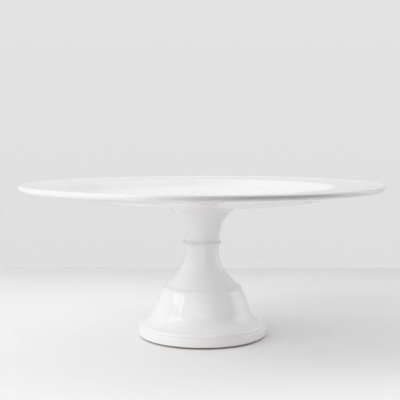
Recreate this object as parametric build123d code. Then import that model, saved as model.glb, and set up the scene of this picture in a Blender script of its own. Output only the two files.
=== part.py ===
from build123d import *
from math import pi, sqrt
import os

# Footed cake stand: a shallow stoneware plate on a flared neck, bolted to a hollow pedestal.
# Millimetres, +Z up. The origin is the centre of the circle that the stand rests on. The neck and the
# pedestal meet at a collar part of the way up the stem. A threaded stud hangs from a bush in the neck,
# passes through the pedestal's bore and takes two washers and a hand knob inside the bell.

os.makedirs("parts", exist_ok=True)

# Overall sizes
plate_diameter = 305.0
overall_height = 129.5
foot_diameter = 109.4

# Plate
lip_thickness = 4.6  # full round edge
lip_bead = 0.5  # height of the lip's crest over the rim just inside it
lip_bead_width = 3.0
rim_width = 41.0  # from the plate's edge to the well's edge
rim_fall = 1.3  # from the inside of the lip down to the well's edge
well_depth = 7.2
well_edge_radius = 2.2  # rounding over the top of the well's wall
well_cove_radius = 6.5  # hollow rounding at the foot of the well's wall
well_wall_run = 8.0  # how far the wall runs in while it drops
plate_depth = 17.1  # from the lip's crest to the plate's underside at the boss
crease_depth = 7.7  # from the well's edge down to the crease under the rim
crease_offset = 1.8  # the crease lies this far outside the well's edge
crease_radius = 18.0
heel_thickness = 3.9  # under the outer edge of the well's floor
underside_belly = 2.4  # how far the underside hangs below a straight line from boss to heel
boss_radius = 30.0  # round joint face under the plate
boss_height = 2.6
boss_cove_width = 9.0

# Stem
stem_split = 0.529  # share of the stem, from shoulder to plate, that belongs to the pedestal
neck_radius = 14.5  # narrowest part of the pedestal's neck
neck_straight = 4.5  # straight length of the neck under the collar
waist_step = 0.3  # the upper neck's waist is this much fuller in radius
flare_rise = 0.45  # share of the upper neck's height that stays nearly upright
flare_reach = 0.42  # share of the flare's width that is reached before it turns outwards
collar_flare = 1.8  # how far the collar stands out from the neck
collar_drop = 4.0  # height over which the collar grows from the neck
collar_edge = 0.5  # rounding of the collar's sharp edges

# Bell
shoulder_height = 43.3
shoulder_radius = 30.8
lip_roll = 1.8  # rounding of the lip round the top of the drum
shoulder_groove = 0.3  # depth of the fine groove under that lip
drum_top_radius = 33.6
drum_top_drop = 2.4  # from the shoulder down to the top of the drum
drum_bottom_radius = 40.8
drum_bottom_height = 22.2
drum_bulge = 0.35  # how far the drum swells out of a straight cone
bell_wall = 5.5
ceiling_share = 0.683  # where on the bell's cove the roof of the hollow ends, counted from its top

# Foot
foot_height = 11.9  # to the top of the foot's edge
foot_edge_radius = 1.9
foot_cove_lead = 0.45  # share of the cove's height over which it leaves the drum's slope
foot_cove_rise = 1.7  # how steeply the cove meets the foot's edge
foot_bottom_radius = 1.8
foot_ring_width = 11.0
foot_inner_wall = 8.0  # height of the hollow's upright wall inside the foot
foot_groove_height = 8.4
foot_groove_depth = 0.5
foot_groove_width = 1.0
foot_band_step = 0.5  # the lower band stands out this much
bumper_diameter = 8.0
bumper_thickness = 1.2
bumper_count = 4
bumper_edge = 0.3

# Stud, bush and gasket
stud_diameter = 8.0
stud_chamfer = 0.8
thread_pitch = 1.25
bush_wall = 2.0
bush_length = 15.0
bush_recess = 0.5  # how far the bush sits back from the joint face
bush_flange = 0.6  # the bush's knurled flange stands out this much
bush_flange_height = 3.0
cement_gap = 1.6  # resin between the bush and its hole
cement_cap = 1.5  # resin behind the bush
bore_clearance = 0.6  # radial, between the stud and the pedestal's bore
gasket_thickness = 0.5
gasket_inset = 0.35  # the gasket's edge stays this far inside the collar
gasket_bore_clearance = 2.0

# Washers and knob
washer_diameter = 24.0
washer_clearance = 0.3  # radial, around the stud
rubber_washer_thickness = 2.0
steel_washer_thickness = 2.0
washer_chamfer = 0.3
running_clearance = 0.05  # radial, between the stud and the knob's bush
knob_bush_length = 12.5
knob_bush_wall = 2.2
knob_bush_proud = 0.6
knob_diameter = 30.0
knob_height = 20.0
knob_grip_height = 13.0
knob_hub_radius = 9.5
knob_lobes = 6
knob_scallop_radius = 5.0
knob_scallop_bite = 2.8
knob_lobe_rounding = 1.6
knob_edge_rounding = 1.5
knob_floor = 3.5  # closed end under the stud

# Levels and radii that follow from the sizes above
plate_radius = plate_diameter / 2
lip_radius = lip_thickness / 2
rim_top = overall_height - lip_bead
well_radius = plate_radius - rim_width
well_edge_height = rim_top - rim_fall
well_floor_height = well_edge_height - well_depth
plate_base_height = overall_height - plate_depth
boss_face_height = plate_base_height - boss_height
joint_height = shoulder_height + stem_split * (plate_base_height - shoulder_height)
pedestal_top = joint_height - gasket_thickness
collar_radius = neck_radius + collar_flare
waist_radius = neck_radius + waist_step
cove_top = pedestal_top - collar_drop - neck_straight
foot_radius = foot_diameter / 2
foot_base = bumper_thickness
foot_inner_radius = foot_radius - foot_ring_width
stud_radius = stud_diameter / 2
bush_radius = stud_radius + bush_wall
bush_hole_radius = bush_radius + cement_gap
bush_bottom = joint_height + bush_recess
bush_top = bush_bottom + bush_length
knob_radius = knob_diameter / 2


def turned(outline):
    """The solid swept round Z by a closed outline drawn as (radius, height)."""
    return revolve(Plane.XZ * make_face(outline), Axis.Z, 360)


def disc(radius, bottom, top):
    """A plain upright cylinder on the axis between two heights."""
    return Pos(0, 0, (bottom + top) / 2) * Cylinder(radius, top - bottom)


def ring(outer, inner, bottom, top):
    """A flat ring on the axis between two heights."""
    return disc(outer, bottom, top) - disc(inner, bottom, top)


def cove_radius(height):
    """Outer radius of the bell's cove, a parabola with an upright tangent at its top."""
    share = (cove_top - height) / (cove_top - shoulder_height)
    return neck_radius + (shoulder_radius - neck_radius) * share**2


def inside_cove(share):
    """The point one wall inside the bell's cove, at a share of the way down it."""
    height = cove_top - share * (cove_top - shoulder_height)
    slope = 2 * share * (shoulder_radius - neck_radius) / (cove_top - shoulder_height)
    length = sqrt(1 + slope**2)
    return cove_radius(height) - bell_wall / length, height - bell_wall * slope / length


ceiling_radius, ceiling_height = inside_cove(ceiling_share)
rubber_washer_bottom = ceiling_height - rubber_washer_thickness
steel_washer_bottom = rubber_washer_bottom - steel_washer_thickness
stud_end = steel_washer_bottom - knob_bush_length
knob_top = steel_washer_bottom - knob_bush_proud
knob_bottom = steel_washer_bottom - knob_height


def make_plate():
    lip_centre = plate_radius - lip_radius
    rim_start = lip_centre - lip_bead_width
    floor_radius = well_radius - well_wall_run
    heel = (floor_radius - heel_thickness / 2, well_floor_height - heel_thickness)
    crease = (well_radius + crease_offset, well_edge_height - crease_depth)
    cove_end = (boss_radius + boss_cove_width, plate_base_height)
    belly = ((heel[0] + cove_end[0]) / 2, (heel[1] + cove_end[1]) / 2 - underside_belly)
    lip_crest = (lip_centre, overall_height)
    lip_foot = (lip_centre, overall_height - lip_thickness)
    outline = FilletPolyline(
        (rim_start, rim_top),
        (well_radius, well_edge_height),
        (floor_radius, well_floor_height),
        (0, well_floor_height),
        radius=[well_edge_radius, well_cove_radius],
    )
    outline += Spline(lip_crest, (rim_start, rim_top), tangents=[(-1, 0), (-1, 0)])
    outline += ThreePointArc(lip_crest, (plate_radius, overall_height - lip_radius), lip_foot)
    outline += FilletPolyline(lip_foot, crease, heel, radius=crease_radius)
    outline += Bezier(heel, belly, cove_end)
    outline += Bezier(
        cove_end,
        (boss_radius + boss_height, plate_base_height),
        (boss_radius, boss_face_height),
    )
    outline += Line((boss_radius, boss_face_height), (0, boss_face_height))
    outline += Line((0, boss_face_height), (0, well_floor_height))
    return turned(outline)


def make_plate_neck():
    waist_height = joint_height + collar_drop
    flare = boss_face_height - waist_height
    hole_top = bush_top + cement_cap
    flare_turn = (
        waist_radius + (boss_radius - waist_radius) * flare_reach,
        boss_face_height - flare * flare_reach / 2,
    )
    outline = Bezier(
        (waist_radius, waist_height),
        (waist_radius, waist_height + flare * flare_rise),
        flare_turn,
        (boss_radius, boss_face_height),
    )
    outline += Line((boss_radius, boss_face_height), (0, boss_face_height))
    outline += Line((0, boss_face_height), (0, joint_height))
    outline += Line((0, joint_height), (collar_radius - collar_edge, joint_height))
    outline += Line((collar_radius - collar_edge, joint_height), (collar_radius, joint_height + collar_edge))
    outline += Bezier(
        (collar_radius, joint_height + collar_edge),
        (waist_radius, joint_height + collar_drop / 3),
        (waist_radius, waist_height),
    )
    return turned(outline) - disc(bush_hole_radius, joint_height, hole_top)


def make_stud_insert():
    body = disc(bush_radius, bush_bottom, bush_top)
    flange = disc(bush_radius + bush_flange, bush_bottom, bush_bottom + bush_flange_height)
    return body + flange - disc(stud_radius, bush_bottom, bush_top)


def make_insert_cement():
    resin = disc(bush_hole_radius, bush_bottom, bush_top + cement_cap)
    flange = disc(bush_radius + bush_flange, bush_bottom, bush_bottom + bush_flange_height)
    return resin - disc(bush_radius, bush_bottom, bush_top) - flange


def make_stud():
    rod = disc(stud_radius, stud_end, bush_top)
    return chamfer(rod.edges().filter_by(GeomType.CIRCLE), stud_chamfer)


def make_collar_gasket():
    inner = stud_radius + gasket_bore_clearance
    return ring(collar_radius - gasket_inset, inner, pedestal_top, joint_height)


def pedestal_outside():
    """The pedestal's outer line, from the foot's underside to the edge of the collar's face."""
    band_radius = foot_radius - foot_band_step
    groove_low = foot_groove_height - foot_groove_width / 2
    groove_high = foot_groove_height + foot_groove_width / 2
    groove_root = band_radius - foot_groove_depth
    drum_top = (drum_top_radius, shoulder_height - drum_top_drop)
    drum_bottom = (drum_bottom_radius, drum_bottom_height)
    drum_run = drum_bottom_radius - drum_top_radius
    drum_rise = drum_top[1] - drum_bottom_height
    drum_length = sqrt(drum_run**2 + drum_rise**2)
    drum_middle = (
        (drum_top_radius + drum_bottom_radius) / 2 + drum_bulge * drum_rise / drum_length,
        (drum_top[1] + drum_bottom_height) / 2 + drum_bulge * drum_run / drum_length,
    )
    ledge = band_radius - foot_edge_radius
    cove_lead = (drum_bottom_height - foot_height) * foot_cove_lead
    line = FilletPolyline(
        (foot_inner_radius, foot_base),
        (foot_radius, foot_base),
        (foot_radius, groove_low),
        radius=foot_bottom_radius,
    )
    line += Polyline((foot_radius, groove_low), (groove_root, foot_groove_height), (band_radius, groove_high))
    line += Line((band_radius, groove_high), (band_radius, foot_height - foot_edge_radius))
    line += ThreePointArc(
        (band_radius, foot_height - foot_edge_radius),
        (ledge + foot_edge_radius * sqrt(0.5), foot_height - foot_edge_radius * (1 - sqrt(0.5))),
        (ledge, foot_height),
    )
    line += Bezier(
        (ledge, foot_height),
        ((drum_bottom_radius + ledge) / 2, foot_height + foot_cove_rise),
        (drum_bottom_radius + cove_lead * drum_run / drum_rise, drum_bottom_height - cove_lead),
        drum_bottom,
    )
    line += ThreePointArc(drum_bottom, drum_middle, drum_top)
    line += Polyline(
        drum_top,
        (drum_top_radius - shoulder_groove, drum_top[1] + shoulder_groove),
        (drum_top_radius - shoulder_groove, drum_top[1] + 2 * shoulder_groove),
    )
    line += Bezier(
        (drum_top_radius - shoulder_groove, drum_top[1] + 2 * shoulder_groove),
        (drum_top_radius, shoulder_height - lip_roll / 3),
        (shoulder_radius, shoulder_height),
    )
    line += Bezier(
        (shoulder_radius, shoulder_height),
        (neck_radius, (shoulder_height + cove_top) / 2),
        (neck_radius, cove_top),
    )
    collar_foot = pedestal_top - collar_drop
    line += Line((neck_radius, cove_top), (neck_radius, collar_foot))
    line += Bezier(
        (neck_radius, collar_foot),
        (neck_radius, pedestal_top - collar_drop / 3),
        (collar_radius, pedestal_top - collar_edge),
    )
    line += Line((collar_radius, pedestal_top - collar_edge), (collar_radius - collar_edge, pedestal_top))
    return line


def make_pedestal():
    bore = stud_radius + bore_clearance
    drum_wall = bell_wall * 1.05
    inner_shoulder = inside_cove(1.0)
    inner_middle = inside_cove((1.0 + ceiling_share) / 2)
    inner_drum = (drum_bottom_radius - drum_wall, drum_bottom_height - bell_wall / 2)
    inner_foot = (foot_inner_radius, foot_base + foot_inner_wall)
    outline = pedestal_outside()
    outline += Polyline(
        (collar_radius - collar_edge, pedestal_top),
        (bore, pedestal_top),
        (bore, ceiling_height),
        (ceiling_radius, ceiling_height),
    )
    outline += Spline((ceiling_radius, ceiling_height), inner_middle, inner_shoulder)
    outline += Polyline(inner_shoulder, inner_drum, inner_foot, (foot_inner_radius, foot_base))
    return turned(outline)


def make_foot_bumpers():
    flat_outer = foot_radius - foot_bottom_radius
    pitch_radius = (flat_outer + foot_inner_radius) / 2
    pads = []
    for index in range(bumper_count):
        angle = 360 * (index + 0.5) / bumper_count
        pad = disc(bumper_diameter / 2, 0, bumper_thickness)
        pad = chamfer(pad.edges().group_by(Axis.Z)[0], bumper_edge)
        pads.append(Rot(0, 0, angle) * Pos(pitch_radius, 0, 0) * pad)
    return Compound(children=pads)


def make_rubber_washer():
    inner = stud_radius + washer_clearance
    return ring(washer_diameter / 2, inner, rubber_washer_bottom, ceiling_height)


def make_steel_washer():
    inner = stud_radius + washer_clearance
    blank = ring(washer_diameter / 2, inner, steel_washer_bottom, rubber_washer_bottom)
    rim = blank.edges().filter_by(GeomType.CIRCLE).group_by(SortBy.RADIUS)[-1]
    return chamfer(rim, washer_chamfer)


def make_knob_bush():
    outer = stud_radius + knob_bush_wall
    return ring(outer, stud_radius + running_clearance, stud_end, steel_washer_bottom)


def make_knob_body():
    grip_top = knob_bottom + knob_grip_height
    grip = Circle(knob_radius)
    for index in range(knob_lobes):
        angle = 360 * (index + 0.5) / knob_lobes
        cutter = Pos(knob_radius + knob_scallop_radius - knob_scallop_bite, 0) * Circle(knob_scallop_radius)
        grip -= Rot(0, 0, angle) * cutter
    grip = fillet(grip.vertices(), knob_lobe_rounding)
    body = Pos(0, 0, knob_bottom) * extrude(grip, knob_grip_height)
    ends = body.edges().group_by(Axis.Z)
    body = fillet(ends[0] + ends[-1], knob_edge_rounding)
    body += disc(knob_hub_radius, grip_top - knob_edge_rounding, knob_top)
    bush_pocket = disc(stud_radius + knob_bush_wall, stud_end, steel_washer_bottom)
    blind_hole = disc(stud_radius + bore_clearance, knob_bottom + knob_floor, stud_end)
    return body - bush_pocket - blind_hole


nodes = {
    "plate": make_plate(),
    "plate_neck": make_plate_neck(),
    "stud_insert": make_stud_insert(),
    "insert_cement": make_insert_cement(),
    "stud": make_stud(),
    "collar_gasket": make_collar_gasket(),
    "pedestal": make_pedestal(),
    "foot_bumpers": make_foot_bumpers(),
    "rubber_washer": make_rubber_washer(),
    "steel_washer": make_steel_washer(),
    "knob_bush": make_knob_bush(),
    "knob_body": make_knob_body(),
}

for name, solid in nodes.items():
    export_step(solid, f"parts/{name}.step")

turns = knob_bush_length / thread_pitch
print(f"joint height {joint_height:.2f}, ceiling {ceiling_height:.2f}, stud length {bush_top - stud_end:.2f}")
print(f"knob travel {knob_bush_length:.2f} mm = {turns:.2f} turns = {360 * turns:.0f} deg")
print(f"lead per radian {thread_pitch / (2 * pi) / 1000:.8e} m")
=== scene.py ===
import math

import bpy
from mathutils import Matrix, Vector, noise


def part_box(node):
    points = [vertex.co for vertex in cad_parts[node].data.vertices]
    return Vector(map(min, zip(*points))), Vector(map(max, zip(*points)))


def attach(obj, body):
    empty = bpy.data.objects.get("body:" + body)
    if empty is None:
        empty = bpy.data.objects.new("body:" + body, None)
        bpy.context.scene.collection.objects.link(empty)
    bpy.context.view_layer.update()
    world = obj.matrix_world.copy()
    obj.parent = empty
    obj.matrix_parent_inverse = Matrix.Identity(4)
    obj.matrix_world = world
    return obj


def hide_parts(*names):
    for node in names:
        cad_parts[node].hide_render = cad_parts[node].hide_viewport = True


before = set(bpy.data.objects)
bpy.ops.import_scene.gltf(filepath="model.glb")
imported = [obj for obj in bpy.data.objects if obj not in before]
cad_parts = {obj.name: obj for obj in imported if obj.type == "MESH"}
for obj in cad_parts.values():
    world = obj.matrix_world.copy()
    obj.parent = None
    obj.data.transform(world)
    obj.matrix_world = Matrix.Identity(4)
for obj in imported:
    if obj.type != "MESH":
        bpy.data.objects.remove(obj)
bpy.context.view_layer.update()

# Footed cake stand. Outlines are drawn in millimetres as (radius, height) and turned round Z.
MM = 0.001


def low(node):
    """A CAD node's lowest height, in millimetres."""
    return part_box(node)[0].z / MM


def high(node):
    """A CAD node's highest height, in millimetres."""
    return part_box(node)[1].z / MM


def reach(node):
    """A CAD node's radius about the axis, in millimetres."""
    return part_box(node)[1].x / MM


# Levels and radii from the frame
PLATE_RADIUS = reach("plate")
PLATE_TOP = high("plate")
LUTE_HEIGHT = high("plate_neck")
LUTE_RADIUS = reach("plate_neck")
JOINT_HEIGHT = low("plate_neck")
PEDESTAL_TOP = high("pedestal")
FOOT_RADIUS = reach("pedestal")
FOOT_BASE = low("pedestal")
BELL_ROOF = high("rubber_washer")
STUD_RADIUS = reach("stud")
STUD_LOW = low("stud")
STUD_HIGH = high("stud")

# Thread of the stud and of the bushes on it
THREAD_PITCH = 1.25
THREAD_STEPS = 14  # rows of points to a pitch
THREAD_DEPTH = 0.72
THREAD_CREST = 0.125  # flat at the crest, as a share of the pitch
THREAD_ROOT = 0.25  # and at the root
THREAD_ROUNDING = 0.15  # share of the depth that rounding takes off the root
THREAD_CLEARANCE = 0.05
STUD_CHAMFER = 0.8

# Plate
LIP_THICKNESS = 4.6
LIP_BEAD = 0.5
LIP_BEAD_WIDTH = 3.0
RIM_WIDTH = 41.0
RIM_FALL = 1.3
WELL_DEPTH = 7.2
WELL_EDGE_RADIUS = 2.2
WELL_COVE_RADIUS = 6.5
WELL_WALL_RUN = 8.0
PLATE_DEPTH = 17.1
CREASE_DEPTH = 7.7
CREASE_OFFSET = 1.8
CREASE_RADIUS = 18.0
HEEL_THICKNESS = 3.9
UNDERSIDE_BELLY = 2.4
BOSS_HEIGHT = 2.6
BOSS_COVE_WIDTH = 9.0

# Stem
NECK_RADIUS = 14.5
NECK_STRAIGHT = 4.5
WAIST_RADIUS = 14.8
FLARE_RISE = 0.45  # share of the flare's height over which it leaves the waist
FLARE_REACH = 0.42  # share of the flare's width over which it meets the plate
COLLAR_RADIUS = 16.3
COLLAR_DROP = 4.0
COLLAR_EDGE = 0.45
COLLAR_TAPER = 0.05
INSERT_HOLE_RADIUS = reach("insert_cement")
INSERT_HOLE_TOP = high("insert_cement")

# Bell and foot
SHOULDER_HEIGHT = 43.3
SHOULDER_RADIUS = 30.8
SHOULDER_CROWN = 0.3  # rise of the band between the groove and the cove
SHOULDER_GROOVE = 0.6
DRUM_TOP_RADIUS = 33.6
DRUM_TOP_DROP = 2.4
DRUM_BOTTOM_RADIUS = 40.8
DRUM_BOTTOM_HEIGHT = 22.2
DRUM_BULGE = 0.35
BELL_WALL = 5.5
BELL_ROOF_RADIUS = 17.6
BELL_SHOULDER = (26.6, 39.6)  # the inner wall bends here, under the shoulder
FOOT_HEIGHT = 11.9
FOOT_EDGE_RADIUS = 1.9
FOOT_COVE_LEAD = 0.45  # share of the cove's height over which it leaves the drum
FOOT_COVE_RISE = 1.7
FOOT_BOTTOM_RADIUS = 1.8
FOOT_RING_WIDTH = 11.0
FOOT_INNER_WALL = 8.0
FOOT_GROOVE_HEIGHT = 8.4
FOOT_GROOVE_DEPTH = 0.45
FOOT_GROOVE_WIDTH = 1.1
FOOT_BAND_STEP = 0.5
OUTLINE_START = 2.0  # height above the foot's base where the pedestal's outline starts and ends
BORE_RADIUS = STUD_RADIUS + 0.6
BARE_MARGIN = 1.6  # glazed band round each bare face at the collar
LEVEL_SLACK = 0.1  # for picking out the outline points that lie at a level

# Unevenness of fired clay
SAG = 0.28  # rise and fall of the plate's edge
SAG_WAVES = 1.1
SAG_SEED = 3.7
SWELL = 0.11  # in and out of every wall
SWELL_WIDTH = 38.0
SWELL_HEIGHT = 30.0
SWELL_START = 14.0  # radius inside which the swelling fades

# Washers, knob, bushes and pads
WASHER_CLEARANCE = 0.3
GASKET_CLEARANCE = 2.0
KNOB_RADIUS = reach("knob_body")
KNOB_LOBES = 6
SCALLOP_RADIUS = 5.0
SCALLOP_BITE = 2.8
SCALLOP_BLEND = 1.2
GRIP_HEIGHT = 13.0
GRIP_EDGE = 1.5
GRIP_DRAFT = 0.25
PARTING_RIDGE = 0.12
HUB_RADIUS = 9.5
HUB_DRAFT = 0.15
END_DISH_DEPTH = 1.1  # in the middle of the knob's end
END_DISH_EDGE = 0.55  # and at the ring round the dish
END_RING_DEPTH = 1.05
END_RING_INSIDE = 7.4
END_RING_OUTSIDE = 9.1
KNOB_FLOOR = 3.5
KNOB_BUSH_RADIUS = reach("knob_bush")
BUSH_FACE = 2.2  # height of the knob bush's turned end, above its knurl
INSERT_FLANGE_HEIGHT = 3.0
INSERT_FLANGE = 0.6
KNURL_COUNT = 36
INSERT_KNURL_DEPTH = 0.28
BUSH_KNURL_DEPTH = 0.25
PAD_RADIUS = 4.0
PAD_EDGE = 1.1  # width of a pad's domed edge
PAD_INSET = 0.4  # of the pads' circle from the middle of the foot's flat ring
PAD_COUNT = 4

# Segments round each piece
TURNS = 256
NECK_TURNS = 128
SMALL_TURNS = 96
STUD_TURNS = 48
INSERT_TURNS = KNURL_COUNT * 8
BUSH_TURNS = KNURL_COUNT * 6
KNOB_TURNS = KNOB_LOBES * 36
PAD_TURNS = 40

SHARP_ANGLE = 38  # degrees between faces above which an edge is drawn sharp
POOL_SPAN = 1.3  # length of outline over which the glaze feels a bend
POOL_GAIN = 1.6


# ---------------------------------------------------------------- outlines


def line(a, b, step=2.5):
    """Points from a to b, no more than a step apart."""
    count = max(1, math.ceil(math.dist(a, b) / step))
    return [(a[0] + (b[0] - a[0]) * i / count, a[1] + (b[1] - a[1]) * i / count) for i in range(count + 1)]


def arc(centre, radius, start, end, count=12):
    """Points on a circle between two angles in degrees."""
    points = []
    for i in range(count + 1):
        a = math.radians(start + (end - start) * i / count)
        points.append((centre[0] + radius * math.cos(a), centre[1] + radius * math.sin(a)))
    return points


def bezier(*controls, count=24):
    """Points on a Bezier curve of any degree."""
    points = []
    for i in range(count + 1):
        t = i / count
        level = list(controls)
        while len(level) > 1:
            level = [(a[0] + (b[0] - a[0]) * t, a[1] + (b[1] - a[1]) * t) for a, b in zip(level, level[1:])]
        points.append(level[0])
    return points


def rounded(corners, radii, step=2.5, count=8):
    """A polyline through corners, its inner corners rounded to radii, one for each or one for all."""
    if not isinstance(radii, (list, tuple)):
        radii = [radii] * (len(corners) - 2)
    points = [corners[0]]
    for before, at, after, radius in zip(corners, corners[1:], corners[2:], radii):
        into = Vector(at) - Vector(before)
        out = Vector(after) - Vector(at)
        turn = into.angle(out)
        cut = radius * math.tan(turn / 2)
        start = Vector(at) - into.normalized() * cut
        end = Vector(at) + out.normalized() * cut
        points += line(points[-1], start, step)[1:]
        if radius > 0:
            points += bezier(tuple(start), tuple(at), tuple(end), count=count)[1:]
    return points + line(points[-1], corners[-1], step)[1:]


def join(*pieces):
    """One outline from several, without the repeated points where they meet."""
    points = []
    for piece in pieces:
        for p in piece:
            if not points or math.dist(points[-1], p) > 1e-4:
                points.append(tuple(p))
    return points


# ---------------------------------------------------------------- meshes


def settle(x, y, z):
    """The slight unevenness of fired clay, the same field for every ceramic piece, in millimetres."""
    r = math.hypot(x, y)
    if r < 1e-6:
        return x, y, z
    u, v = x / r, y / r
    sag = SAG * noise.noise((u * SAG_WAVES, v * SAG_WAVES, SAG_SEED)) * (r / PLATE_RADIUS) ** 2
    fade = min(1.0, r / SWELL_START)
    swell = SWELL * noise.noise((x / SWELL_WIDTH, y / SWELL_WIDTH, z / SWELL_HEIGHT)) * fade
    grow = 1 + swell / r
    return x * grow, y * grow, z + sag


def new_piece(name, points, faces, body, node, material, even=True):
    """A mesh object from points in millimetres, riding on a body in place of a CAD node.

    A piece that isn't even is settled, as fired clay is."""
    if not even:
        points = [settle(*p) for p in points]
    mesh = bpy.data.meshes.new(name)
    mesh.from_pydata([(x * MM, y * MM, z * MM) for x, y, z in points], [], faces)
    mesh.polygons.foreach_set("use_smooth", [True] * len(mesh.polygons))
    mesh.set_sharp_from_angle(angle=math.radians(SHARP_ANGLE))
    mesh.materials.append(material)
    mesh.update()
    piece = bpy.data.objects.new(name, mesh)
    bpy.context.scene.collection.objects.link(piece)
    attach(piece, body)
    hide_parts(node)
    return piece


def turn_points(outline, turns, shape=None):
    """Grid of points and faces for an outline turned round Z. An outline point on the axis is a pole.

    shape gives the radius for an outline point's radius and height and an angle."""
    points, rows, faces = [], [], []
    for r, z in outline:
        if r < 1e-6:
            rows.append([len(points)])
            points.append((0.0, 0.0, z))
            continue
        row = []
        for k in range(turns):
            a = 2 * math.pi * k / turns
            radius = shape(r, z, a) if shape else r
            row.append(len(points))
            points.append((radius * math.cos(a), radius * math.sin(a), z))
        rows.append(row)
    for one, two in zip(rows, rows[1:]):
        for k in range(turns):
            n = (k + 1) % turns
            if len(one) == 1:
                faces.append((one[0], two[n], two[k]))
            elif len(two) == 1:
                faces.append((one[k], one[n], two[0]))
            else:
                faces.append((one[k], one[n], two[n], two[k]))
    return points, rows, faces


def close_ring(rows, faces, turns):
    """Joins the last row of a turned outline to the first, for a piece with a hole through it."""
    first, last = rows[0], rows[-1]
    for k in range(turns):
        n = (k + 1) % turns
        faces.append((last[k], last[n], first[n], first[k]))


def lathe(name, outline, body, node, material, turns=SMALL_TURNS, ring=False, shape=None, even=True,
          marks=None):
    """A turned piece. A ring has a hole through it, so its outline closes on itself.

    marks is one dictionary of attribute values for each outline point."""
    if ring and math.dist(outline[0], outline[-1]) < 1e-4:
        outline = outline[:-1]
    points, rows, faces = turn_points(outline, turns, shape)
    if ring:
        close_ring(rows, faces, turns)
    piece = new_piece(name, points, faces, body, node, material, even)
    for key in (marks[0] if marks else ()):
        layer = piece.data.attributes.new(key, "FLOAT", "POINT")
        values = [0.0] * len(points)
        for row, mark in zip(rows, marks):
            for i in row:
                values[i] = mark[key]
        layer.data.foreach_set("value", values)
    return piece


def glaze_marks(outline, bare=()):
    """For each outline point: glaze, 0 where the clay is left bare, and pool, + in hollows and - on edges.

    bare is a list of (lowest radius, highest radius, lowest height, highest height) left unglazed."""
    last = len(outline) - 1
    lengths = [0.0]
    for a, b in zip(outline, outline[1:]):
        lengths.append(lengths[-1] + math.dist(a, b))
    marks = []
    for i, (r, z) in enumerate(outline):
        back = max((k for k in range(i) if lengths[i] - lengths[k] >= POOL_SPAN), default=0)
        fore = min((k for k in range(i, last) if lengths[k] - lengths[i] >= POOL_SPAN), default=last)
        into = Vector((r, z)) - Vector(outline[back])
        out = Vector(outline[fore]) - Vector((r, z))
        turn = 0.0
        if into.length > 1e-6 and out.length > 1e-6:
            into, out = into.normalized(), out.normalized()
            turn = math.asin(max(-1.0, min(1.0, into.x * out.y - into.y * out.x)))
        glazed = 1.0
        for inner, outer, lowest, highest in bare:
            if inner <= r <= outer and lowest <= z <= highest:
                glazed = 0.0
        marks.append({"glaze": glazed, "pool": max(-1.0, min(1.0, -turn * POOL_GAIN))})
    return marks


# ---------------------------------------------------------------- materials


def set_stops(ramp, stops):
    """Gives a colour ramp its (place, colour) stops."""
    while len(ramp.elements) < len(stops):
        ramp.elements.new(0.5)
    for element, (place, colour) in zip(ramp.elements, stops):
        element.position = place
        element.color = (*colour, 1.0)


def mix_colours(tree, fac, a, b, blend="MIX"):
    """Mixes two colour sockets by a number or a socket."""
    node = tree.nodes.new("ShaderNodeMix")
    node.data_type = "RGBA"
    node.blend_type = blend
    if isinstance(fac, float):
        node.inputs[0].default_value = fac
    else:
        tree.links.new(fac, node.inputs[0])
    tree.links.new(a, node.inputs[6])  # 6, 7 and output 2 are the node's colours
    tree.links.new(b, node.inputs[7])
    return node.outputs[2]


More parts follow.
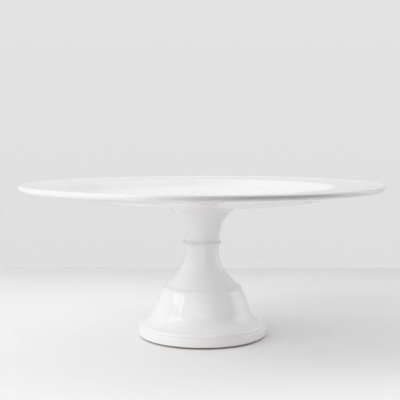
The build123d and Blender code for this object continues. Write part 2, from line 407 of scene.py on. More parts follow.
class Nodes:
    """Short calls for building one material's nodes."""

    def __init__(self, name):
        self.material = bpy.data.materials.new(name)
        self.material.use_nodes = True
        self.tree = self.material.node_tree
        self.tree.nodes.clear()
        self.shader = self.tree.nodes.new("ShaderNodeBsdfPrincipled")
        out = self.tree.nodes.new("ShaderNodeOutputMaterial")
        self.link(self.shader.outputs[0], out.inputs["Surface"])
        self.place = self.tree.nodes.new("ShaderNodeTexCoord").outputs["Object"]

    def link(self, a, b):
        self.tree.links.new(a, b)

    def put(self, **values):
        for key, value in values.items():
            self.shader.inputs[key.replace("_", " ")].default_value = value

    def base(self, colour):
        self.link(colour, self.shader.inputs["Base Color"])

    def rough(self, value):
        self.link(value, self.shader.inputs["Roughness"])

    def texture(self, kind, size, seed, stretch=None):
        """A texture with features about size millimetres across, moved aside by its seed."""
        node = self.tree.nodes.new(kind)
        node.inputs["Scale"].default_value = 1 / (size * MM)
        shift = self.tree.nodes.new("ShaderNodeMapping")
        shift.inputs["Location"].default_value = (seed, seed * 0.7, seed * 1.3)
        if stretch:
            shift.inputs["Scale"].default_value = stretch
        self.link(self.place, shift.inputs["Vector"])
        self.link(shift.outputs[0], node.inputs["Vector"])
        return node

    def noise(self, size, detail=3.0, rough=0.5, stretch=None, seed=0.0):
        """Soft noise from 0 to 1."""
        node = self.texture("ShaderNodeTexNoise", size, seed, stretch)
        node.inputs["Detail"].default_value = detail
        node.inputs["Roughness"].default_value = rough
        return node.outputs["Fac"]

    def cells(self, size, seed=0.0):
        """Distance to the nearest of scattered points about size millimetres apart."""
        return self.texture("ShaderNodeTexVoronoi", size, seed).outputs["Distance"]

    def ramp(self, fac, low_value, high_value, start=0.0, end=1.0):
        """Maps fac from start..end to low_value..high_value, numbers."""
        node = self.tree.nodes.new("ShaderNodeMapRange")
        node.inputs["From Min"].default_value = start
        node.inputs["From Max"].default_value = end
        node.inputs["To Min"].default_value = low_value
        node.inputs["To Max"].default_value = high_value
        self.link(fac, node.inputs["Value"])
        return node.outputs[0]

    def colours(self, fac, stops):
        """A colour ramp with (place, colour) stops."""
        node = self.tree.nodes.new("ShaderNodeValToRGB")
        set_stops(node.color_ramp, stops)
        self.link(fac, node.inputs["Fac"])
        return node.outputs["Color"]

    def mix(self, fac, a, b, blend="MIX"):
        return mix_colours(self.tree, fac, a, b, blend)

    def math(self, operation, a, b):
        node = self.tree.nodes.new("ShaderNodeMath")
        node.operation = operation
        self.link(a, node.inputs[0])
        self.link(b, node.inputs[1])
        return node.outputs[0]

    def attribute(self, name):
        node = self.tree.nodes.new("ShaderNodeAttribute")
        node.attribute_name = name
        return node.outputs["Fac"]

    def bump(self, heights):
        """Stacks (height, millimetres) pairs of fine relief on the shader."""
        normal = None
        for height, depth in heights:
            node = self.tree.nodes.new("ShaderNodeBump")
            node.inputs["Strength"].default_value = 1.0
            node.inputs["Distance"].default_value = depth * MM
            self.link(height, node.inputs["Height"])
            if normal:
                self.link(normal, node.inputs["Normal"])
            normal = node.outputs[0]
        self.link(normal, self.shader.inputs["Normal"])


def make_glaze():
    """White glaze on stoneware, thin on edges and pooled in hollows, and bare clay where it is masked."""
    m = Nodes("white_glaze")
    glaze = m.attribute("glaze")
    pool = m.ramp(m.attribute("pool"), 0.0, 1.0, -1.0, 1.0)
    cloud = m.noise(26, 3, 0.5)
    body = m.colours(cloud, [(0.3, (0.862, 0.855, 0.858)), (0.7, (0.882, 0.876, 0.879))])
    tone = m.colours(
        pool,
        [(0.0, (0.982, 0.979, 0.974)), (0.5, (1.0, 1.0, 1.0)), (1.0, (0.982, 0.988, 0.990))],
    )
    white = m.mix(1.0, body, tone, "MULTIPLY")
    speck = m.cells(3.4, 4.0)
    clay = m.colours(m.noise(0.9, 4, 0.65, seed=2.0), [(0.3, (0.60, 0.575, 0.53)), (0.7, (0.70, 0.68, 0.64))])
    grog = m.colours(speck, [(0.03, (0.62, 0.58, 0.52)), (0.12, (1.0, 1.0, 1.0))])
    bare = m.mix(1.0, clay, grog, "MULTIPLY")
    m.base(m.mix(glaze, bare, white))
    gloss = m.ramp(m.noise(14, 2, 0.5, seed=7.0), 0.03, 0.065, 0.3, 0.7)
    m.rough(m.math("ADD", m.ramp(glaze, 0.72, 0.0), m.math("MULTIPLY", gloss, glaze)))
    m.put(IOR=1.52)
    grain = m.math("MULTIPLY", m.noise(0.6, 4, 0.7, seed=5.0), m.ramp(glaze, 1.0, 0.0))
    peel = m.noise(7.0, 1, 0.4, seed=9.0)
    m.bump([(peel, 0.002), (grain, 0.09)])
    return m.material


def make_brass():
    """Brass with the fine lines of turning, tarnished in clouds."""
    m = Nodes("turned_brass")
    tarnish = m.noise(2.2, 4, 0.6)
    m.base(m.colours(tarnish, [(0.3, (0.55, 0.37, 0.14)), (0.7, (0.78, 0.58, 0.27))]))
    lines = m.noise(0.5, 2, 0.5, stretch=(0.02, 0.02, 1.0), seed=3.0)
    m.rough(m.ramp(lines, 0.22, 0.42, 0.3, 0.7))
    m.put(Metallic=1.0)
    m.bump([(lines, 0.012)])
    return m.material


def make_zinc():
    """Zinc plating, bluish to faintly yellow."""
    m = Nodes("zinc_plate")
    spangle = m.noise(1.6, 4, 0.6)
    m.base(
        m.colours(
            spangle,
            [(0.3, (0.53, 0.54, 0.565)), (0.55, (0.64, 0.65, 0.66)), (0.8, (0.66, 0.655, 0.62))],
        )
    )
    m.rough(m.ramp(m.noise(0.35, 3, 0.6, seed=1.0), 0.2, 0.38, 0.3, 0.7))
    m.put(Metallic=1.0)
    m.bump([(m.noise(0.25, 3, 0.6, seed=6.0), 0.008)])
    return m.material


def make_black_rubber():
    """Black rubber with a little dust on it."""
    m = Nodes("black_rubber")
    dust = m.noise(1.8, 5, 0.65)
    m.base(m.colours(dust, [(0.35, (0.022, 0.022, 0.022)), (0.75, (0.06, 0.058, 0.055))]))
    m.rough(m.ramp(dust, 0.62, 0.85, 0.3, 0.8))
    m.bump([(m.noise(0.3, 3, 0.6, seed=2.0), 0.02)])
    return m.material


def make_gasket_silicone():
    """Milky white silicone."""
    m = Nodes("gasket_silicone")
    cloud = m.noise(2.5, 3, 0.5)
    m.base(m.colours(cloud, [(0.3, (0.80, 0.80, 0.795)), (0.7, (0.85, 0.85, 0.845))]))
    m.rough(m.ramp(cloud, 0.45, 0.6, 0.3, 0.7))
    m.bump([(m.noise(0.25, 2, 0.5, seed=2.0), 0.012)])
    return m.material


def make_resin():
    """Grey-brown filled resin, set a little lumpy and pitted."""
    m = Nodes("filled_resin")
    cloud = m.noise(1.5, 4, 0.6)
    m.base(m.colours(cloud, [(0.3, (0.42, 0.39, 0.33)), (0.7, (0.55, 0.515, 0.45))]))
    m.rough(m.ramp(cloud, 0.38, 0.6, 0.3, 0.7))
    m.bump([(m.noise(0.5, 4, 0.6, seed=3.0), 0.05), (m.cells(0.9, 2.0), 0.03)])
    return m.material


def make_knob_plastic():
    """Black plastic from a mould with a fine grain."""
    m = Nodes("textured_black_moulding")
    shade = m.noise(4.0, 3, 0.5)
    m.base(m.colours(shade, [(0.3, (0.022, 0.022, 0.023)), (0.7, (0.034, 0.034, 0.036))]))
    grain = m.noise(0.28, 3, 0.6, seed=4.0)
    m.rough(m.ramp(grain, 0.42, 0.58, 0.3, 0.7))
    m.bump([(grain, 0.03)])
    return m.material


def make_clear_pad():
    """Clear soft plastic, slightly cloudy."""
    m = Nodes("clear_pad")
    cloud = m.noise(1.5, 3, 0.5)
    m.base(m.colours(cloud, [(0.3, (0.80, 0.81, 0.80)), (0.7, (0.88, 0.89, 0.88))]))
    m.rough(m.ramp(cloud, 0.18, 0.3, 0.3, 0.7))
    m.put(Transmission_Weight=0.65, IOR=1.45)
    m.bump([(m.noise(0.4, 2, 0.5, seed=2.0), 0.01)])
    return m.material


GLAZE = make_glaze()
BRASS = make_brass()
ZINC = make_zinc()
RUBBER = make_black_rubber()
SILICONE = make_gasket_silicone()
RESIN = make_resin()
KNOB = make_knob_plastic()
CLEAR = make_clear_pad()


# ---------------------------------------------------------------- ceramic pieces


def lute_face():
    """The unglazed face where the neck is joined to the plate."""
    return (0, LUTE_RADIUS - 1, LUTE_HEIGHT - LEVEL_SLACK, LUTE_HEIGHT + LEVEL_SLACK)


def build_plate():
    """The plate, from its joint with the neck out under the rim, over the lip and in across the well."""
    lip_radius = LIP_THICKNESS / 2
    lip_centre = PLATE_RADIUS - lip_radius
    rim_top = PLATE_TOP - LIP_BEAD
    well_radius = PLATE_RADIUS - RIM_WIDTH
    well_edge = rim_top - RIM_FALL
    floor = well_edge - WELL_DEPTH
    floor_radius = well_radius - WELL_WALL_RUN
    base = PLATE_TOP - PLATE_DEPTH
    heel = (floor_radius - HEEL_THICKNESS / 2, floor - HEEL_THICKNESS)
    crease = (well_radius + CREASE_OFFSET, well_edge - CREASE_DEPTH)
    cove_end = (LUTE_RADIUS + BOSS_COVE_WIDTH, base)
    belly = ((heel[0] + cove_end[0]) / 2, (heel[1] + cove_end[1]) / 2 - UNDERSIDE_BELLY)
    rim_start = (lip_centre - LIP_BEAD_WIDTH, rim_top)
    crest = (lip_centre, PLATE_TOP)
    inner_floor = (20, floor)
    outline = join(
        [(0, LUTE_HEIGHT)],
        line((0, LUTE_HEIGHT), (LUTE_RADIUS, LUTE_HEIGHT), 6),
        bezier((LUTE_RADIUS, LUTE_HEIGHT), (LUTE_RADIUS + BOSS_HEIGHT, base), cove_end, count=14),
        bezier(cove_end, belly, heel, count=26),
        rounded([heel, crease, (lip_centre, PLATE_TOP - LIP_THICKNESS)], [CREASE_RADIUS], count=16),
        arc((lip_centre, PLATE_TOP - lip_radius), lip_radius, -90, 90, 22),
        bezier(
            crest,
            (lip_centre - LIP_BEAD_WIDTH * 0.45, PLATE_TOP),
            (lip_centre - LIP_BEAD_WIDTH * 0.55, rim_top),
            rim_start,
            count=12,
        ),
        rounded(
            [rim_start, (well_radius, well_edge), (floor_radius, floor), inner_floor],
            [WELL_EDGE_RADIUS * 1.6, WELL_COVE_RADIUS],
            step=3,
            count=14,
        ),
        line(inner_floor, (0, floor), 5),
    )
    marks = glaze_marks(outline, bare=[lute_face()])
    lathe("plate_glazed", outline, "plate_top", "plate", GLAZE, TURNS, even=False, marks=marks)


def build_plate_neck():
    """The flared neck, with its collar and the hole for the stud's bush."""
    waist = JOINT_HEIGHT + COLLAR_DROP
    flare = LUTE_HEIGHT - waist
    reach_out = (LUTE_RADIUS - WAIST_RADIUS) * FLARE_REACH
    collar = (COLLAR_RADIUS, JOINT_HEIGHT + COLLAR_EDGE)
    outline = join(
        [(0, LUTE_HEIGHT), (LUTE_RADIUS - 0.4, LUTE_HEIGHT)],
        bezier(
            (LUTE_RADIUS, LUTE_HEIGHT),
            (WAIST_RADIUS + reach_out, LUTE_HEIGHT - flare * FLARE_REACH / 2),
            (WAIST_RADIUS, waist + flare * FLARE_RISE),
            (WAIST_RADIUS, waist),
            count=30,
        ),
        bezier(
            (WAIST_RADIUS, waist),
            (WAIST_RADIUS, JOINT_HEIGHT + COLLAR_DROP / 3),
            collar,
            count=10,
        ),
        rounded(
            [
                collar,
                (COLLAR_RADIUS - COLLAR_TAPER, JOINT_HEIGHT),
                (INSERT_HOLE_RADIUS, JOINT_HEIGHT),
                (INSERT_HOLE_RADIUS, INSERT_HOLE_TOP),
                (0, INSERT_HOLE_TOP),
            ],
            [COLLAR_EDGE * 0.35, 0.3, 0.5],
        ),
    )
    outline = outline[::-1]
    joint_face = (0, COLLAR_RADIUS - BARE_MARGIN, JOINT_HEIGHT - LEVEL_SLACK, INSERT_HOLE_TOP + LEVEL_SLACK)
    marks = glaze_marks(outline, bare=[joint_face, lute_face()])
    lathe("plate_neck_glazed", outline, "plate_top", "plate_neck", GLAZE, NECK_TURNS, even=False,
          marks=marks)


def pedestal_outside():
    """From the foot's inner edge, round the outside and up to the edge of the collar's face."""
    ring_inside = FOOT_RADIUS - FOOT_RING_WIDTH
    band = FOOT_RADIUS - FOOT_BAND_STEP
    groove_reach = FOOT_GROOVE_WIDTH * 0.7
    drum_top_height = SHOULDER_HEIGHT - DRUM_TOP_DROP
    run = DRUM_BOTTOM_RADIUS - DRUM_TOP_RADIUS
    rise = drum_top_height - DRUM_BOTTOM_HEIGHT
    ledge = band - FOOT_EDGE_RADIUS
    lead = (DRUM_BOTTOM_HEIGHT - FOOT_HEIGHT) * FOOT_COVE_LEAD
    middle = (
        (DRUM_TOP_RADIUS + DRUM_BOTTOM_RADIUS) / 2 + 2 * DRUM_BULGE,
        (drum_top_height + DRUM_BOTTOM_HEIGHT) / 2,
    )
    neck_top = PEDESTAL_TOP - COLLAR_DROP
    cove_top = neck_top - NECK_STRAIGHT
    groove = DRUM_TOP_RADIUS - SHOULDER_GROOVE
    drum_edge = (DRUM_TOP_RADIUS + 0.12, drum_top_height - 0.3)
    crest = (
        (DRUM_TOP_RADIUS + SHOULDER_RADIUS) / 2,
        (drum_top_height + SHOULDER_HEIGHT) / 2 + SHOULDER_CROWN,
    )
    return join(
        rounded(
            [
                (ring_inside, FOOT_BASE + OUTLINE_START),
                (ring_inside, FOOT_BASE),
                (FOOT_RADIUS, FOOT_BASE),
                (FOOT_RADIUS, FOOT_GROOVE_HEIGHT - groove_reach),
                (band - FOOT_GROOVE_DEPTH, FOOT_GROOVE_HEIGHT),
                (band, FOOT_GROOVE_HEIGHT + groove_reach),
                (band, FOOT_HEIGHT - FOOT_EDGE_RADIUS),
            ],
            [0.7, FOOT_BOTTOM_RADIUS, 0.9, 0.45, 0.9],
        ),
        arc((ledge, FOOT_HEIGHT - FOOT_EDGE_RADIUS), FOOT_EDGE_RADIUS, 0, 90, 10),
        bezier(
            (ledge, FOOT_HEIGHT),
            ((DRUM_BOTTOM_RADIUS + ledge) / 2, FOOT_HEIGHT + FOOT_COVE_RISE),
            (DRUM_BOTTOM_RADIUS + lead * run / rise, DRUM_BOTTOM_HEIGHT - lead),
            (DRUM_BOTTOM_RADIUS, DRUM_BOTTOM_HEIGHT),
        ),
        bezier((DRUM_BOTTOM_RADIUS, DRUM_BOTTOM_HEIGHT), middle, drum_edge, count=14),
        rounded(
            [
                drum_edge,
                (groove, drum_top_height + SHOULDER_GROOVE * 0.6),
                (groove + 0.25, drum_top_height + SHOULDER_GROOVE * 1.8),
                crest,
            ],
            [0.35, 0.4],
            step=0.3,
        ),
        bezier(
            crest,
            ((crest[0] + SHOULDER_RADIUS) / 2, (crest[1] + SHOULDER_HEIGHT) / 2 + 0.1),
            (SHOULDER_RADIUS, SHOULDER_HEIGHT),
            count=8,
        ),
        bezier(
            (SHOULDER_RADIUS, SHOULDER_HEIGHT),
            (NECK_RADIUS, (SHOULDER_HEIGHT + cove_top) / 2),
            (NECK_RADIUS, cove_top),
            count=34,
        ),
        line((NECK_RADIUS, cove_top), (NECK_RADIUS, neck_top), 1.5),
        bezier(
            (NECK_RADIUS, neck_top),
            (NECK_RADIUS, PEDESTAL_TOP - COLLAR_DROP / 3),
            (COLLAR_RADIUS, PEDESTAL_TOP - COLLAR_EDGE),
            count=10,
        ),
    )


def build_pedestal():
    """The hollow bell: its outside, then the collar's face, the bore, the roof and the inner wall."""
    inner_foot = FOOT_RADIUS - FOOT_RING_WIDTH
    outline = join(
        pedestal_outside(),
        rounded(
            [
                (COLLAR_RADIUS, PEDESTAL_TOP - COLLAR_EDGE),
                (COLLAR_RADIUS - COLLAR_TAPER, PEDESTAL_TOP),
                (BORE_RADIUS, PEDESTAL_TOP),
                (BORE_RADIUS, BELL_ROOF),
                (BELL_ROOF_RADIUS, BELL_ROOF),
                BELL_SHOULDER,
                (DRUM_BOTTOM_RADIUS - BELL_WALL * 1.05, DRUM_BOTTOM_HEIGHT - BELL_WALL / 2),
                (inner_foot, FOOT_BASE + FOOT_INNER_WALL),
                (inner_foot, FOOT_BASE + OUTLINE_START),
            ],
            [COLLAR_EDGE * 0.8, 0.5, 0.6, 5.0, 14.0, 9.0, 7.0],
            count=12,
        ),
    )
    top = PEDESTAL_TOP + LEVEL_SLACK
    foot_face = (inner_foot - 1.0, FOOT_RADIUS - 1.0, FOOT_BASE - LEVEL_SLACK, FOOT_BASE + 0.55)
    collar_face = (0, COLLAR_RADIUS - BARE_MARGIN, PEDESTAL_TOP - LEVEL_SLACK, top)
    bore = (0, BORE_RADIUS + 0.6, BELL_ROOF - LEVEL_SLACK, top)
    marks = glaze_marks(outline, bare=[foot_face, collar_face, bore])
    lathe("pedestal_glazed", outline, "pedestal_base", "pedestal", GLAZE, TURNS, ring=True,
          even=False, marks=marks)


# ---------------------------------------------------------------- stud, bushes, washers and knob


def thread_depth(z, angle):
    """Depth of a right-hand thread under its crest: a flat crest, straight flanks and a rounded root."""
    away = abs((z / THREAD_PITCH - angle / (2 * math.pi)) % 1.0 - 0.5) * 2
    slope = min(1.0, max(0.0, (1 - THREAD_CREST - away) / (1 - THREAD_CREST - THREAD_ROOT)))
    return THREAD_DEPTH * slope * (1 - THREAD_ROUNDING * slope)


def thread_rows(radius, bottom, top, chamfer):
    """Closely spaced outline points up a threaded cylinder, with chamfered ends."""
    rows = math.ceil((top - bottom) / (THREAD_PITCH / THREAD_STEPS))
    points = []
    for i in range(rows + 1):
        z = bottom + (top - bottom) * i / rows
        points.append((radius - max(0.0, chamfer - (z - bottom), chamfer - (top - z)), z))
    return points


def build_stud():
    """A threaded rod with chamfered ends."""
    flat = STUD_RADIUS - STUD_CHAMFER
    rod = thread_rows(STUD_RADIUS, STUD_LOW, STUD_HIGH, STUD_CHAMFER)

    def threaded(r, z, angle):
        if r < flat - 0.01:
            return r
        return min(r, STUD_RADIUS - thread_depth(z, angle))

    outline = [(0, STUD_LOW), (flat * 0.6, STUD_LOW)] + rod + [(flat * 0.6, STUD_HIGH), (0, STUD_HIGH)]
    lathe("stud_threaded", outline, "plate_top", "stud", ZINC, STUD_TURNS, shape=threaded)


def knurled(radius, depth):
    """A shape that cuts fine upright grooves into everything that stands out to a radius."""

    def cut(r, z, angle):
        if r < radius:
            return r
        return r - depth * (0.5 - 0.5 * math.cos(KNURL_COUNT * angle)) ** 0.6

    return cut


def build_stud_insert():
    """A flanged brass bush with a knurled barrel, undercut above its flange."""
    outer = reach("stud_insert")
    barrel = outer - INSERT_FLANGE
    bottom, top = low("stud_insert"), high("stud_insert")
    bore = STUD_RADIUS + THREAD_CLEARANCE
    flange_top = bottom + INSERT_FLANGE_HEIGHT
    chamfer = 0.5
    edge = 0.3
    lead = 0.6
    undercut = barrel - 0.5
    outline = join(
        line((bore, top - chamfer), (bore, bottom + chamfer), 1.5),
        rounded(
            [
                (bore, bottom + chamfer),
                (bore + chamfer, bottom),
                (outer - edge, bottom),
                (outer, bottom + edge),
                (outer, flange_top - edge),
                (outer - edge, flange_top),
                (undercut, flange_top),
                (undercut, flange_top + 0.8),
                (barrel, flange_top + 1.1),
                (barrel, top - lead),
                (barrel - lead, top),
                (bore + chamfer, top),
                (bore, top - chamfer),
            ],
            0.08,
            count=3,
        ),
    )
    lathe("stud_insert_knurled", outline, "plate_top", "stud_insert", BRASS, INSERT_TURNS, ring=True,
          shape=knurled(barrel - 0.2, INSERT_KNURL_DEPTH))


def build_insert_cement():
    """The resin round the bush, sunk a little between the two where it shows at the neck's face."""
    outer = INSERT_HOLE_RADIUS
    film = 0.02  # keeps the two surfaces apart
    flange = reach("stud_insert") + film
    barrel = flange - INSERT_FLANGE
    bottom, top = low("insert_cement"), high("insert_cement")
    flange_top = low("stud_insert") + INSERT_FLANGE_HEIGHT
    roof = high("stud_insert") + film
    rim = (outer, bottom + 0.1)
    lip = (flange, bottom + 0.75)
    outline = join(
        line((0, top), (outer - 0.5, top)),
        rounded([(outer - 0.5, top), (outer, top), rim], [0.45]),
        bezier(rim, (outer - 0.25, bottom + 0.45), lip, count=6),
        rounded(
            [lip, (flange, flange_top), (barrel, flange_top), (barrel, roof), (0, roof)],
            [0.05, 0.05, 0.2],
        ),
    )
    lathe("insert_cement_fill", outline, "plate_top", "insert_cement", RESIN)


def build_collar_gasket():
    """A thin washer between the two collars, squeezed out level with them."""
    outer = reach("collar_gasket")
    inner = STUD_RADIUS + GASKET_CLEARANCE
    bottom, top = low("collar_gasket"), high("collar_gasket")
    swell = COLLAR_RADIUS - outer
    outline = join(
        line((inner + 1, bottom), (outer, bottom), 1.0),
        bezier((outer, bottom), (outer + 1.8 * swell, (bottom + top) / 2), (outer, top), count=10),
        rounded([(outer, top), (inner, top), (inner, bottom), (inner + 1, bottom)], 0.2, step=1.0, count=5),
    )
    lathe("collar_gasket_ring", outline, "pedestal_base", "collar_gasket", SILICONE, ring=True)


def build_foot_bumpers():
    """Four self-adhesive pads with domed edges, set evenly round the foot ring."""
    height = high("foot_bumpers")
    flat = (PAD_RADIUS - PAD_EDGE, 0)
    outline = join(
        line((0, 0), flat, 0.8),
        rounded([flat, (PAD_RADIUS - 0.15, 0.1), (PAD_RADIUS, height)], [0.5], count=8),
        line((PAD_RADIUS, height), (0, height), 1.0),
    )
    shape_points, _, shape_faces = turn_points(outline, PAD_TURNS)
    pitch = FOOT_RADIUS - FOOT_RING_WIDTH / 2 - FOOT_BAND_STEP - PAD_INSET
    points, faces = [], []
    for index in range(PAD_COUNT):
        angle = 2 * math.pi * (index + 0.5) / PAD_COUNT
        start = len(points)
        points += [(x + pitch * math.cos(angle), y + pitch * math.sin(angle), z) for x, y, z in shape_points]
        faces += [tuple(start + i for i in face) for face in shape_faces]
    new_piece("foot_bumper_pads", points, faces, "pedestal_base", "foot_bumpers", CLEAR)


def build_rubber_washer():
    """A moulded washer with round edges and a fine parting line."""
    outer, bottom, top = reach("rubber_washer"), low("rubber_washer"), high("rubber_washer")
    hole = STUD_RADIUS + WASHER_CLEARANCE
    middle = (bottom + top) / 2
    face = outer - 0.4
    edge = 0.45
    seam = 0.15
    start = (outer - 1.0, bottom)
    outline = join(
        line(start, (face, bottom)),
        bezier((face, bottom), (outer, bottom), (outer, bottom + edge), count=6),
        line((outer, bottom + edge), (outer, middle - seam), 0.3),
        [(outer - 0.12, middle)],
        line((outer, middle + seam), (outer, top - edge), 0.3),
        bezier((outer, top - edge), (outer, top), (face, top), count=6),
        rounded([(face, top), (hole, top), (hole, bottom), start], 0.25, step=1.5),
    )
    lathe("rubber_washer_moulded", outline, "washers", "rubber_washer", RUBBER, ring=True)


def build_steel_washer():
    """A stamped washer: rolled over on its upper edge and crisp on its lower one."""
    outer, bottom, top = reach("steel_washer"), low("steel_washer"), high("steel_washer")
    hole = STUD_RADIUS + WASHER_CLEARANCE
    crisp = 0.12
    rolled = (outer - 0.9, top)
    punched = (hole + 0.6, top)
    start = (outer - 2.0, bottom)
    outline = join(
        line(start, (outer - crisp, bottom)),
        line((outer - crisp, bottom), (outer, bottom + crisp)),
        line((outer, bottom + crisp), (outer, top - 0.6), 0.4),
        bezier((outer, top - 0.6), (outer - 0.02, top), rolled, count=7),
        line(rolled, punched, 2.0),
        bezier(punched, (hole, top), (hole, top - 0.5), count=6),
        line((hole, top - 0.5), (hole, bottom + 0.1), 0.4),
        line((hole + 0.1, bottom), start, 2.0),
    )
    lathe("steel_washer_stamped", outline, "washers", "steel_washer", ZINC, ring=True)


def build_knob_bush():
    """A knurled brass bush, moulded into the knob with its turned face standing a little proud."""
    bottom, top = low("knob_bush"), high("knob_bush")
    bore = STUD_RADIUS + THREAD_CLEARANCE
    plain = top - BUSH_FACE
    lead = 0.6
    undercut = KNOB_BUSH_RADIUS - 0.7
    turned = KNOB_BUSH_RADIUS - 0.02
    outline = join(
        thread_rows(bore, bottom, top, 0.0)[::-1],
        rounded(
            [
                (KNOB_BUSH_RADIUS - lead, bottom),
                (KNOB_BUSH_RADIUS, bottom + lead),
                (KNOB_BUSH_RADIUS, plain - 1.2),
                (undercut, plain - 0.9),
                (undercut, plain),
                (turned, plain + 0.1),
                (turned, top - 0.3),
                (KNOB_BUSH_RADIUS - 0.3, top),
                (bore + 0.8, top),
                (bore + 0.1, top - 0.6),
            ],
            0.1,
            step=1.0,
            count=3,
        ),
    )
    knurl = knurled(KNOB_BUSH_RADIUS - 0.2, BUSH_KNURL_DEPTH)
    thread_room = 0.3

    def cut(r, z, angle):
        if abs(r - bore) < 0.01:
            return bore + thread_room - min(thread_room, thread_depth(z, angle) * 0.4)
        return knurl(r, z, angle) if z < plain else r

    lathe("knob_bush_knurled", outline, "knob", "knob_bush", BRASS, BUSH_TURNS, ring=True, shape=cut)


def lobe_radius(angle):
    """The knob's scalloped outline, its hollows blended into its lobes."""
    turn = 2 * math.pi / KNOB_LOBES
    off = angle % turn - turn / 2
    centre = KNOB_RADIUS + SCALLOP_RADIUS - SCALLOP_BITE
    side = SCALLOP_RADIUS**2 - (centre * math.sin(off)) ** 2
    hollow = centre * math.cos(off) - math.sqrt(max(0.0, side))
    share = min(1.0, max(0.0, 0.5 + 0.5 * (hollow - KNOB_RADIUS) / SCALLOP_BLEND))
    return hollow + (KNOB_RADIUS - hollow) * share - SCALLOP_BLEND * share * (1 - share)


def build_knob_body():
    """A moulded hand knob: lobed grip with a parting line, round hub, and a dished end with a ring."""
    bottom, top = low("knob_body"), high("knob_body")
    grip_top = bottom + GRIP_HEIGHT
    middle = (bottom + grip_top) / 2
    side = KNOB_RADIUS - GRIP_DRAFT
    face = side - GRIP_EDGE
    seam = KNOB_RADIUS - PARTING_RIDGE
    seam_half = 0.15
    blend_width = 2  # of the lobes into the round hub
    pocket = KNOB_BUSH_RADIUS + 0.02
    blind = low("knob_bush")
    dish_edge = (END_RING_INSIDE, bottom + END_DISH_EDGE)
    ring_floor = bottom + END_RING_DEPTH
    ring_edge = (END_RING_OUTSIDE, bottom)
    outline = join(
        bezier((0, bottom + END_DISH_DEPTH), (4, bottom + 1.05), dish_edge, count=8),
        rounded(
            [dish_edge, (END_RING_INSIDE + 0.3, ring_floor), (END_RING_OUTSIDE - 0.5, ring_floor), ring_edge],
            [0.2, 0.3],
        ),
        line(ring_edge, (face, bottom), 0.9),
        arc((face, bottom + GRIP_EDGE), GRIP_EDGE, -90, 0, 9),
        line((side, bottom + GRIP_EDGE), (seam, middle - seam_half), 1.5),
        [(KNOB_RADIUS, middle)],
        line((seam, middle + seam_half), (side, grip_top - GRIP_EDGE), 1.5),
        arc((face, grip_top - GRIP_EDGE), GRIP_EDGE, 0, 90, 9),
        rounded(
            [
                (face, grip_top),
                (HUB_RADIUS, grip_top),
                (HUB_RADIUS - HUB_DRAFT, top),
                (pocket, top),
                (pocket, blind),
                (STUD_RADIUS, blind),
                (STUD_RADIUS, bottom + KNOB_FLOOR),
                (0, bottom + KNOB_FLOOR),
            ],
            [1.0, 0.6, 0.15, 0.15, 0.1, 0.4],
            step=1.5,
        ),
    )

    def lobed(r, z, angle):
        share = min(1.0, max(0.0, (r - HUB_RADIUS) / (KNOB_RADIUS - HUB_RADIUS - blend_width)))
        return r - (KNOB_RADIUS - lobe_radius(angle)) * share

    lathe("knob_body_moulded", outline, "knob", "knob_body", KNOB, KNOB_TURNS, shape=lobed)


build_plate()
build_plate_neck()
build_pedestal()
build_stud()
build_stud_insert()
build_insert_cement()
build_collar_gasket()
build_foot_bumpers()
build_rubber_washer()
build_steel_washer()
build_knob_bush()
build_knob_body()


# ---------------------------------------------------------------- stage, lights and camera

# Table, in metres from the stand's axis
TABLE_NEAR = -0.30
TABLE_FAR = 0.36
TABLE_HALF = 1.9
TABLE_THICK = 0.018
TABLE_PAINTED_SHADE = [(0.0, 1.0), (0.40, 0.95), (1.0, 0.65)]  # painted shade: the table's colour darkens towards its far edge

# Black card in front of the plate, in metres
FLAG_LEFT = -0.03
FLAG_RIGHT = 0.34
FLAG_DEPTH = -0.215
FLAG_BOTTOM = 0.112
FLAG_TOP = 0.30

# Light from the room: rows of a direction and its stops of (cosine of the angle from it, share of light)
ROOM_BRIGHTNESS = 1.98
ROOM_LEVELS = [
    ((0.0, 0.0, 1.0), [(0.0, 1.0), (0.42, 1.0), (0.85, 0.86), (1.0, 0.84)]),  # ceiling
    ((0.80, -0.57, 0.20), [(0.0, 1.0), (0.74, 1.0), (0.90, 0.05), (1.0, 0.03)]),  # unlit right front
    ((0.12, -0.48, 0.87), [(0.0, 1.0), (0.76, 1.0), (0.88, 0.34), (1.0, 0.32)]),  # unlit ceiling in front
    ((0.10, -0.80, -0.59), [(0.0, 1.0), (0.84, 1.0), (0.93, 0.12), (1.0, 0.10)]),  # under the near edge
    ((-0.90, -0.44, 0.0), [(0.0, 1.0), (0.45, 1.0), (0.85, 0.42), (1.0, 0.42)]),  # wall round the window
    ((0.0, 1.0, 0.0), [(0.0, 1.0), (0.35, 1.0), (0.75, 0.38), (1.0, 0.35)]),  # wall behind
]

# Wall that the camera sees: its brightness by how far the line of sight rises, between two sines
WALL_FROM = -0.25
WALL_TO = 0.45
WALL_LEVELS = [(0.0, 0.73), (0.35, 0.75), (1.0, 0.80)]

# Window at the left front: panes as (name, left, right) in degrees from straight ahead, the rest in metres
WINDOW_PANES = [("window_near_pane", 54, 64), ("window_far_pane", 68, 90)]
WINDOW_BOTTOM = 1.2
WINDOW_TOP = 3.5
WINDOW_DISTANCE = 3.0
WINDOW_RADIANCE = 4.7

CAMERA_PLACE = (-0.0019, -0.6786, 0.1646)  # metres
CAMERA_DOWN = 4.15  # degrees below level
CAMERA_LENS = 72
CAMERA_SENSOR = 36
CAMERA_CLIP = 0.01

# Tone, as (scene brightness, shown brightness) between black and the scene brightness shown as white
TONE_WHITE = 1.6
TONE_CURVE = [(0.4, 0.4), (0.82, 0.82), (0.95, 0.90), (1.15, 0.958), (1.35, 0.985)]


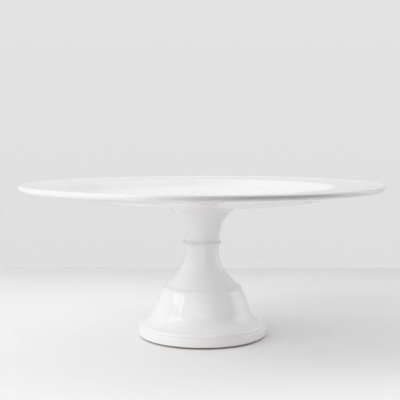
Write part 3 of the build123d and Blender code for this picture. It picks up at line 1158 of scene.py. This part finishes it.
def stage_mesh(name, points, faces, material):
    """A mesh object from points in metres."""
    mesh = bpy.data.meshes.new(name)
    mesh.from_pydata(points, [], faces)
    mesh.materials.append(material)
    item = bpy.data.objects.new(name, mesh)
    bpy.context.scene.collection.objects.link(item)
    return item


def build_table():
    """A pale table top. Its far edge lies a little behind the stand and its near edge just out of view."""
    m = Nodes("pale_table")
    cloud = m.noise(90, 3, 0.5)
    paint = m.colours(cloud, [(0.3, (0.885, 0.880, 0.881)), (0.7, (0.90, 0.895, 0.896))])
    depth = m.tree.nodes.new("ShaderNodeSeparateXYZ")
    m.link(m.place, depth.inputs[0])
    back = m.ramp(depth.outputs["Y"], 0.0, 1.0, TABLE_NEAR, TABLE_FAR)
    # Painted shade: the table's colour is multiplied down from its near edge to its far edge by these stops.
    shade = m.colours(back, [(stop, (level, level, level)) for stop, level in TABLE_PAINTED_SHADE])
    m.base(m.mix(1.0, paint, shade, "MULTIPLY"))
    m.put(Roughness=0.95, Specular_IOR_Level=0.15)
    left, right = -TABLE_HALF, TABLE_HALF
    corners = [(left, TABLE_NEAR), (right, TABLE_NEAR), (right, TABLE_FAR), (left, TABLE_FAR)]
    points = [(x, y, z) for z in (-TABLE_THICK, 0.0) for x, y in corners]
    faces = [(4, 5, 6, 7), (3, 2, 1, 0), (0, 1, 5, 4), (1, 2, 6, 5), (2, 3, 7, 6), (3, 0, 4, 7)]
    table = stage_mesh("table_top", points, faces, m.material)


def build_flag():
    """A black card in front and to the right that draws the lip's dark line.

    The camera and reflections don't see it."""
    m = Nodes("black_card")
    m.base(m.colours(m.noise(40, 3, 0.5), [(0.3, (0.012, 0.012, 0.012)), (0.7, (0.018, 0.018, 0.018))]))
    m.put(Roughness=1.0)
    points = [
        (FLAG_LEFT, FLAG_DEPTH, FLAG_BOTTOM),
        (FLAG_RIGHT, FLAG_DEPTH, FLAG_BOTTOM),
        (FLAG_RIGHT, FLAG_DEPTH, FLAG_TOP),
        (FLAG_LEFT, FLAG_DEPTH, FLAG_TOP),
    ]
    flag = stage_mesh("black_flag", points, [(0, 1, 2, 3)], m.material)
    flag.visible_camera = False
    flag.visible_glossy = False


def build_world():
    """A pale room that lights the stand from all round, less from some sides.

    The camera sees a plain wall."""
    world = bpy.data.worlds.new("pale_room")
    bpy.context.scene.world = world
    world.use_nodes = True
    tree = world.node_tree
    tree.nodes.clear()

    def add(kind):
        return tree.nodes.new(kind)

    def ramp(source, stops):
        node = add("ShaderNodeValToRGB")
        tree.links.new(source, node.inputs["Fac"])
        set_stops(node.color_ramp, [(stop, (level, level, level)) for stop, level in stops])
        return node.outputs["Color"]

    out = add("ShaderNodeOutputWorld")
    place = add("ShaderNodeTexCoord")

    def towards(direction, stops):
        dot = add("ShaderNodeVectorMath")
        dot.operation = "DOT_PRODUCT"
        dot.inputs[1].default_value = direction
        tree.links.new(place.outputs["Generated"], dot.inputs[0])
        return ramp(dot.outputs["Value"], stops)

    level = None
    for direction, stops in ROOM_LEVELS:
        share = towards(direction, stops)
        level = mix_colours(tree, 1.0, level, share, "MULTIPLY") if level else share
    room = add("ShaderNodeBackground")
    room.inputs["Strength"].default_value = ROOM_BRIGHTNESS
    tree.links.new(level, room.inputs["Color"])
    height = add("ShaderNodeSeparateXYZ")
    tree.links.new(place.outputs["Generated"], height.inputs[0])
    lift = add("ShaderNodeMapRange")
    lift.inputs["From Min"].default_value = WALL_FROM
    lift.inputs["From Max"].default_value = WALL_TO
    tree.links.new(height.outputs["Z"], lift.inputs["Value"])
    seen = add("ShaderNodeBackground")
    tree.links.new(ramp(lift.outputs[0], WALL_LEVELS), seen.inputs["Color"])
    path = add("ShaderNodeLightPath")
    mix = add("ShaderNodeMixShader")
    tree.links.new(path.outputs["Is Camera Ray"], mix.inputs["Fac"])
    tree.links.new(room.outputs[0], mix.inputs[1])
    tree.links.new(seen.outputs[0], mix.inputs[2])
    tree.links.new(mix.outputs[0], out.inputs["Surface"])


def build_lights():
    """The panes of the window, upright and facing the stand."""
    height = WINDOW_TOP - WINDOW_BOTTOM
    for name, left, right in WINDOW_PANES:
        middle = math.radians((left + right) / 2)
        width = WINDOW_DISTANCE * 2 * math.tan(math.radians((right - left) / 2))
        data = bpy.data.lights.new(name, "AREA")
        data.shape = "RECTANGLE"
        data.size = width
        data.size_y = height
        data.energy = WINDOW_RADIANCE * math.pi * width * height
        lamp = bpy.data.objects.new(name, data)
        bpy.context.scene.collection.objects.link(lamp)
        lamp.visible_camera = False
        lamp.location = (
            -WINDOW_DISTANCE * math.sin(middle),
            -WINDOW_DISTANCE * math.cos(middle),
            (WINDOW_BOTTOM + WINDOW_TOP) / 2,
        )
        lamp.rotation_euler = (math.radians(90), 0, -middle)


def build_camera():
    """About 680 mm in front and a little above the plate, looking slightly down."""
    data = bpy.data.cameras.new("camera")
    data.lens = CAMERA_LENS
    data.sensor_width = CAMERA_SENSOR
    data.clip_start = CAMERA_CLIP
    camera = bpy.data.objects.new("camera", data)
    bpy.context.scene.collection.objects.link(camera)
    camera.location = CAMERA_PLACE
    camera.rotation_euler = (math.radians(90 - CAMERA_DOWN), 0, 0)
    bpy.context.scene.camera = camera


def set_tone():
    """Standard colours with a soft shoulder, so that white glaze in full light keeps its shape."""
    view = bpy.context.scene.view_settings
    view.view_transform = "Standard"
    view.use_curve_mapping = True
    curves = view.curve_mapping
    curves.white_level = (TONE_WHITE, TONE_WHITE, TONE_WHITE)
    points = curves.curves[3].points  # the curve for all three colours together
    for light, shown in TONE_CURVE:
        points.new(light / TONE_WHITE, shown)
    for point in points:
        point.handle_type = "VECTOR"
    curves.update()


build_table()
build_flag()
build_world()
build_lights()
build_camera()
set_tone()
